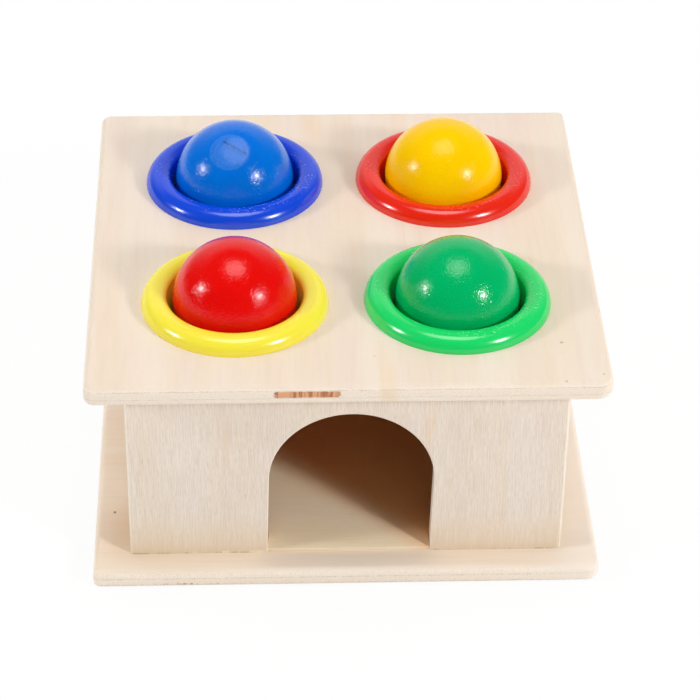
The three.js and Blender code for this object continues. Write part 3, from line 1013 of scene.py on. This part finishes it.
lay_down()
bpy.ops.mesh.primitive_plane_add(size=2 * FLOOR_REACH, location=(0, 0, 0))
floor = tell_name(bpy.context.object, "studio_floor")
floor_paper, floor_place = new_material("white_paper")
paper = floor_place.node("BsdfDiffuse", {}, {"Color": FLOOR_WHITE})
shining = floor_place.node("Emission", {}, {"Color": PURE_WHITE, "Strength": 1.0})
seen = floor_place.node("LightPath", {}, {})
seen_or_mirrored = seen + seen.beside("Is Glossy Ray") + seen.beside("Is Transmission Ray")
shown = floor_place.node(
    "MixShader", {}, {0: seen_or_mirrored * FLOOR_SHOWN_WHITE, 1: paper, 2: shining}
)
floor_place.node("OutputMaterial", {}, {"Surface": shown})
clothe(floor, floor_paper)

SKY_FRONT = 0.23
SKY_BACK = 0.8
MIRROR_FRONT = 0.02
MIRROR_BACK = 0.72
MIRROR_EDGE = 0.58
MIRROR_TOP = 0.7
sky = bpy.data.worlds.new("white_tent")
bpy.context.scene.world = sky
sky.use_nodes = True
sky.node_tree.nodes.clear()
sky_way = Shade(sky.node_tree, None).node("TexCoord", {}, {})
sky_parts = sky_way.node("SeparateXYZ", {}, {0: sky_way})
behind = sky_parts.beside(1).rise(-0.4, 0.6)
sky_seen = sky_way.node("LightPath", {}, {})
sky_light = behind * (SKY_BACK - SKY_FRONT) + SKY_FRONT
sky_mirrored = sky_seen.beside("Is Glossy Ray") + sky_seen.beside("Is Transmission Ray")
low_sky = sky_parts.beside(2).rise(MIRROR_TOP, MIRROR_EDGE)
sky_middle = abs(sky_parts).rise(0.9, 0.3) * sky_parts.beside(1).rise(0.0, 0.7)
sky_image = sky_middle * low_sky * (MIRROR_BACK - MIRROR_FRONT) + MIRROR_FRONT
sky_unseen = sky_mirrored * sky_image + (1 - sky_mirrored) * sky_light
sky_strength = sky_seen + (1 - sky_seen) * sky_unseen
tent = sky_way.node("Background", {}, {"Color": PURE_WHITE, "Strength": sky_strength})
sky_way.node("OutputWorld", {}, {"Surface": tent})


def softbox(name, azimuth, elevation, distance, size, power, shape):
    """A soft lamp that faces the toy. Azimuth is in degrees from the front towards the right,
    distance and size are in metres and power is in watts."""
    lamp = bpy.data.lights.new(name, "AREA")
    lamp.shape = shape
    lamp.size = size
    lamp.energy = power
    stand = bpy.data.objects.new(name, lamp)
    bpy.context.scene.collection.objects.link(stand)
    turn = math.radians(azimuth)
    climb = math.radians(elevation)
    way = Vector(
        (math.sin(turn) * math.cos(climb), -math.cos(turn) * math.cos(climb), math.sin(climb))
    )
    stand.location = LAMP_TARGET + way * distance
    stand.rotation_mode = "QUATERNION"
    stand.rotation_quaternion = way.to_track_quat("Z", "Y")


LAMP_TARGET = Vector((0, 0, 60)) * MM
softbox("right_softbox", 51, 26, 1.8, 0.475, 7.0, "SQUARE")
softbox("right_softbox_middle", 51, 26, 1.78, 0.175, 8.4, "SQUARE")
softbox("left_softbox", -79, 25, 1.8, 0.436, 4.6, "SQUARE")
softbox("left_softbox_middle", -79, 25, 1.78, 0.165, 5.8, "SQUARE")
softbox("overhead_softbox", 0, 90, 1.2, 0.7, 4.7, "DISK")

CAMERA_TARGET = Vector((2.625, 0, 26.165)) * MM
CAMERA_DISTANCE = 696.33 * MM
CAMERA_AZIMUTH = math.radians(-2.5087)
CAMERA_ELEVATION = math.radians(35.8726)
CAMERA_ROLL = math.radians(0.7992)
SENSOR_WIDTH = 36.0
FOCAL_LENGTH = 139.989

lens = bpy.data.cameras.new("long_lens")
lens.sensor_width = SENSOR_WIDTH
lens.lens = FOCAL_LENGTH
lens.clip_start = 0.05
lens.clip_end = 20
camera = bpy.data.objects.new("camera", lens)
bpy.context.scene.collection.objects.link(camera)
camera_back = Vector(
    (
        math.sin(CAMERA_AZIMUTH) * math.cos(CAMERA_ELEVATION),
        -math.cos(CAMERA_AZIMUTH) * math.cos(CAMERA_ELEVATION),
        math.sin(CAMERA_ELEVATION),
    )
)
camera.location = CAMERA_TARGET + camera_back * CAMERA_DISTANCE
camera.rotation_mode = "QUATERNION"
camera_turn = Quaternion((0, 0, 1), CAMERA_ROLL)
camera.rotation_quaternion = (-camera_back).to_track_quat("-Z", "Y") @ camera_turn
bpy.context.scene.camera = camera
bpy.context.scene.view_settings.view_transform = "Standard"
